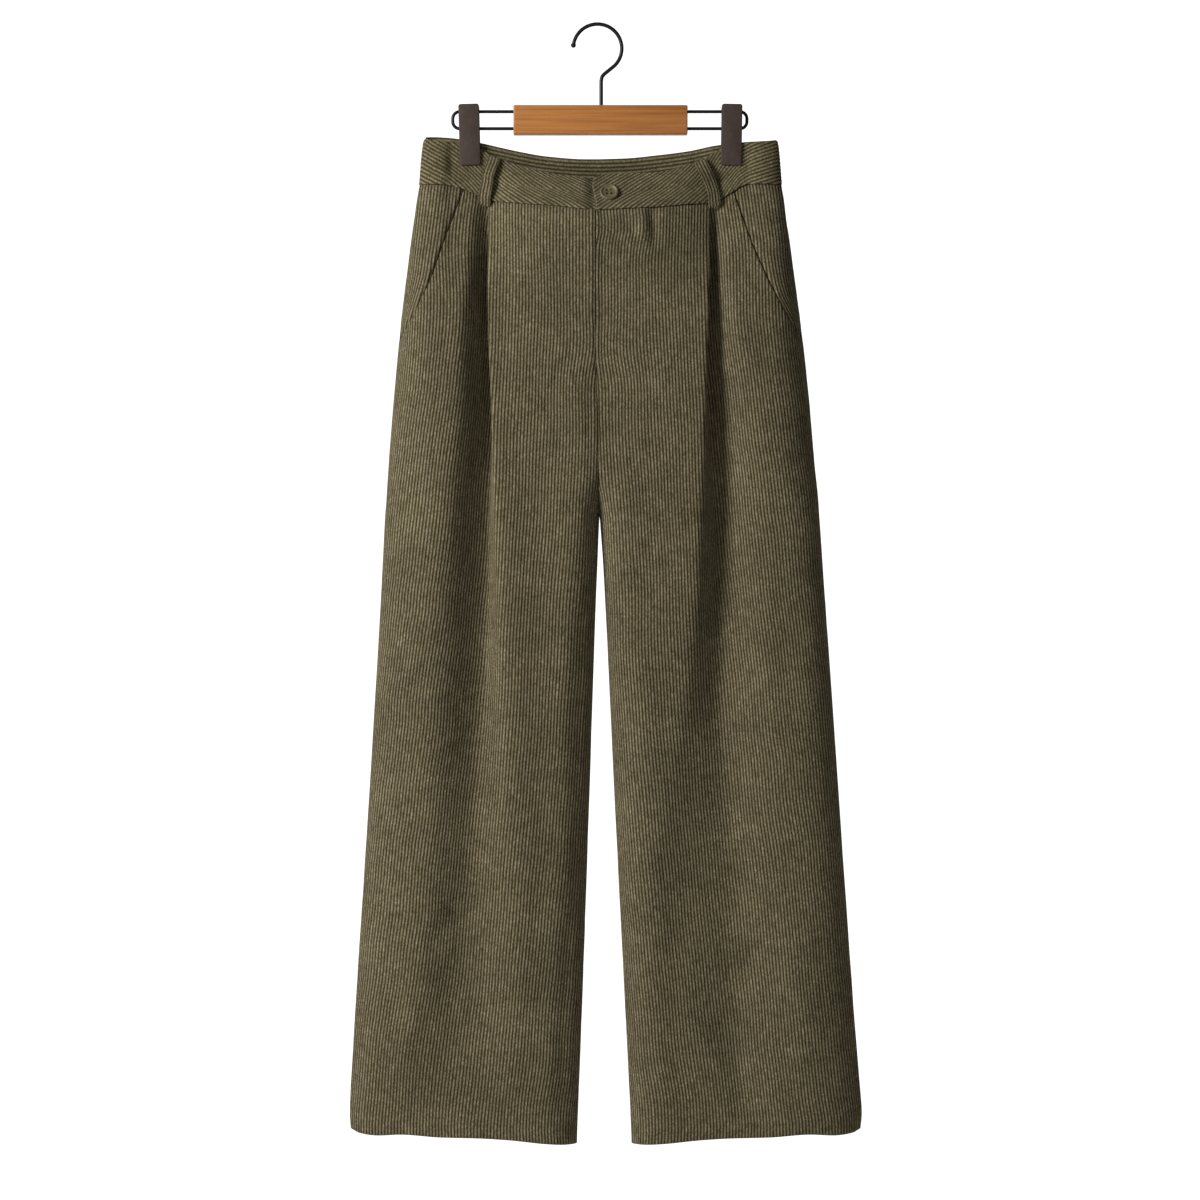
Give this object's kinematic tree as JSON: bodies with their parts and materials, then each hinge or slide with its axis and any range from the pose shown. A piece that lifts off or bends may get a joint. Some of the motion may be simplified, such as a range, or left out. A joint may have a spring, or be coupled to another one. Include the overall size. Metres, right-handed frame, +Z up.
{
  "type": "corduroy trousers on a clip hanger",
  "caption": "Wide-leg pleated corduroy trousers with slant pockets and belt loops, hung flat by the waistband from a wooden trouser hanger with a wire hook and clips.",
  "frame": {"origin": "inside of the hook's crown, where the hook rests on a rail", "axes": "+Z up, -Y towards the garment's front, +X towards the wearer's left"},
  "size_m": [0.5113, 0.0624, 1.1208],
  "materials": {
    "corduroy": "matte wide-wale corduroy, dark olive brown",
    "button": "satin, mottled olive brown",
    "wood": "oiled, reddish brown",
    "hanger_wire": "satin black",
    "clip": "matte dark brown"
  },
  "bodies": {
    "root": {"front_right": "corduroy", "back_right": "corduroy", "pocket_facing_right": "corduroy", "waistband_front_right": "corduroy", "front_left": "corduroy", "back_left": "corduroy", "pocket_facing_left": "corduroy", "waistband_front_left": "corduroy", "waistband_back": "corduroy", "belt_loop_front_right": "corduroy", "belt_loop_front_left": "corduroy", "belt_loop_back_right": "corduroy", "belt_loop_back_left": "corduroy", "belt_loop_back_centre": "corduroy", "button": "button", "hook": "hanger_wire", "wooden_bar": "wood", "wire_loop_right": "hanger_wire", "wire_loop_left": "hanger_wire", "clip_right_front_jaw": "clip", "clip_right_back_jaw": "clip", "clip_right_saddle": "hanger_wire", "clip_left_front_jaw": "clip", "clip_left_back_jaw": "clip", "clip_left_saddle": "hanger_wire"}
  },
  "joints": []
}
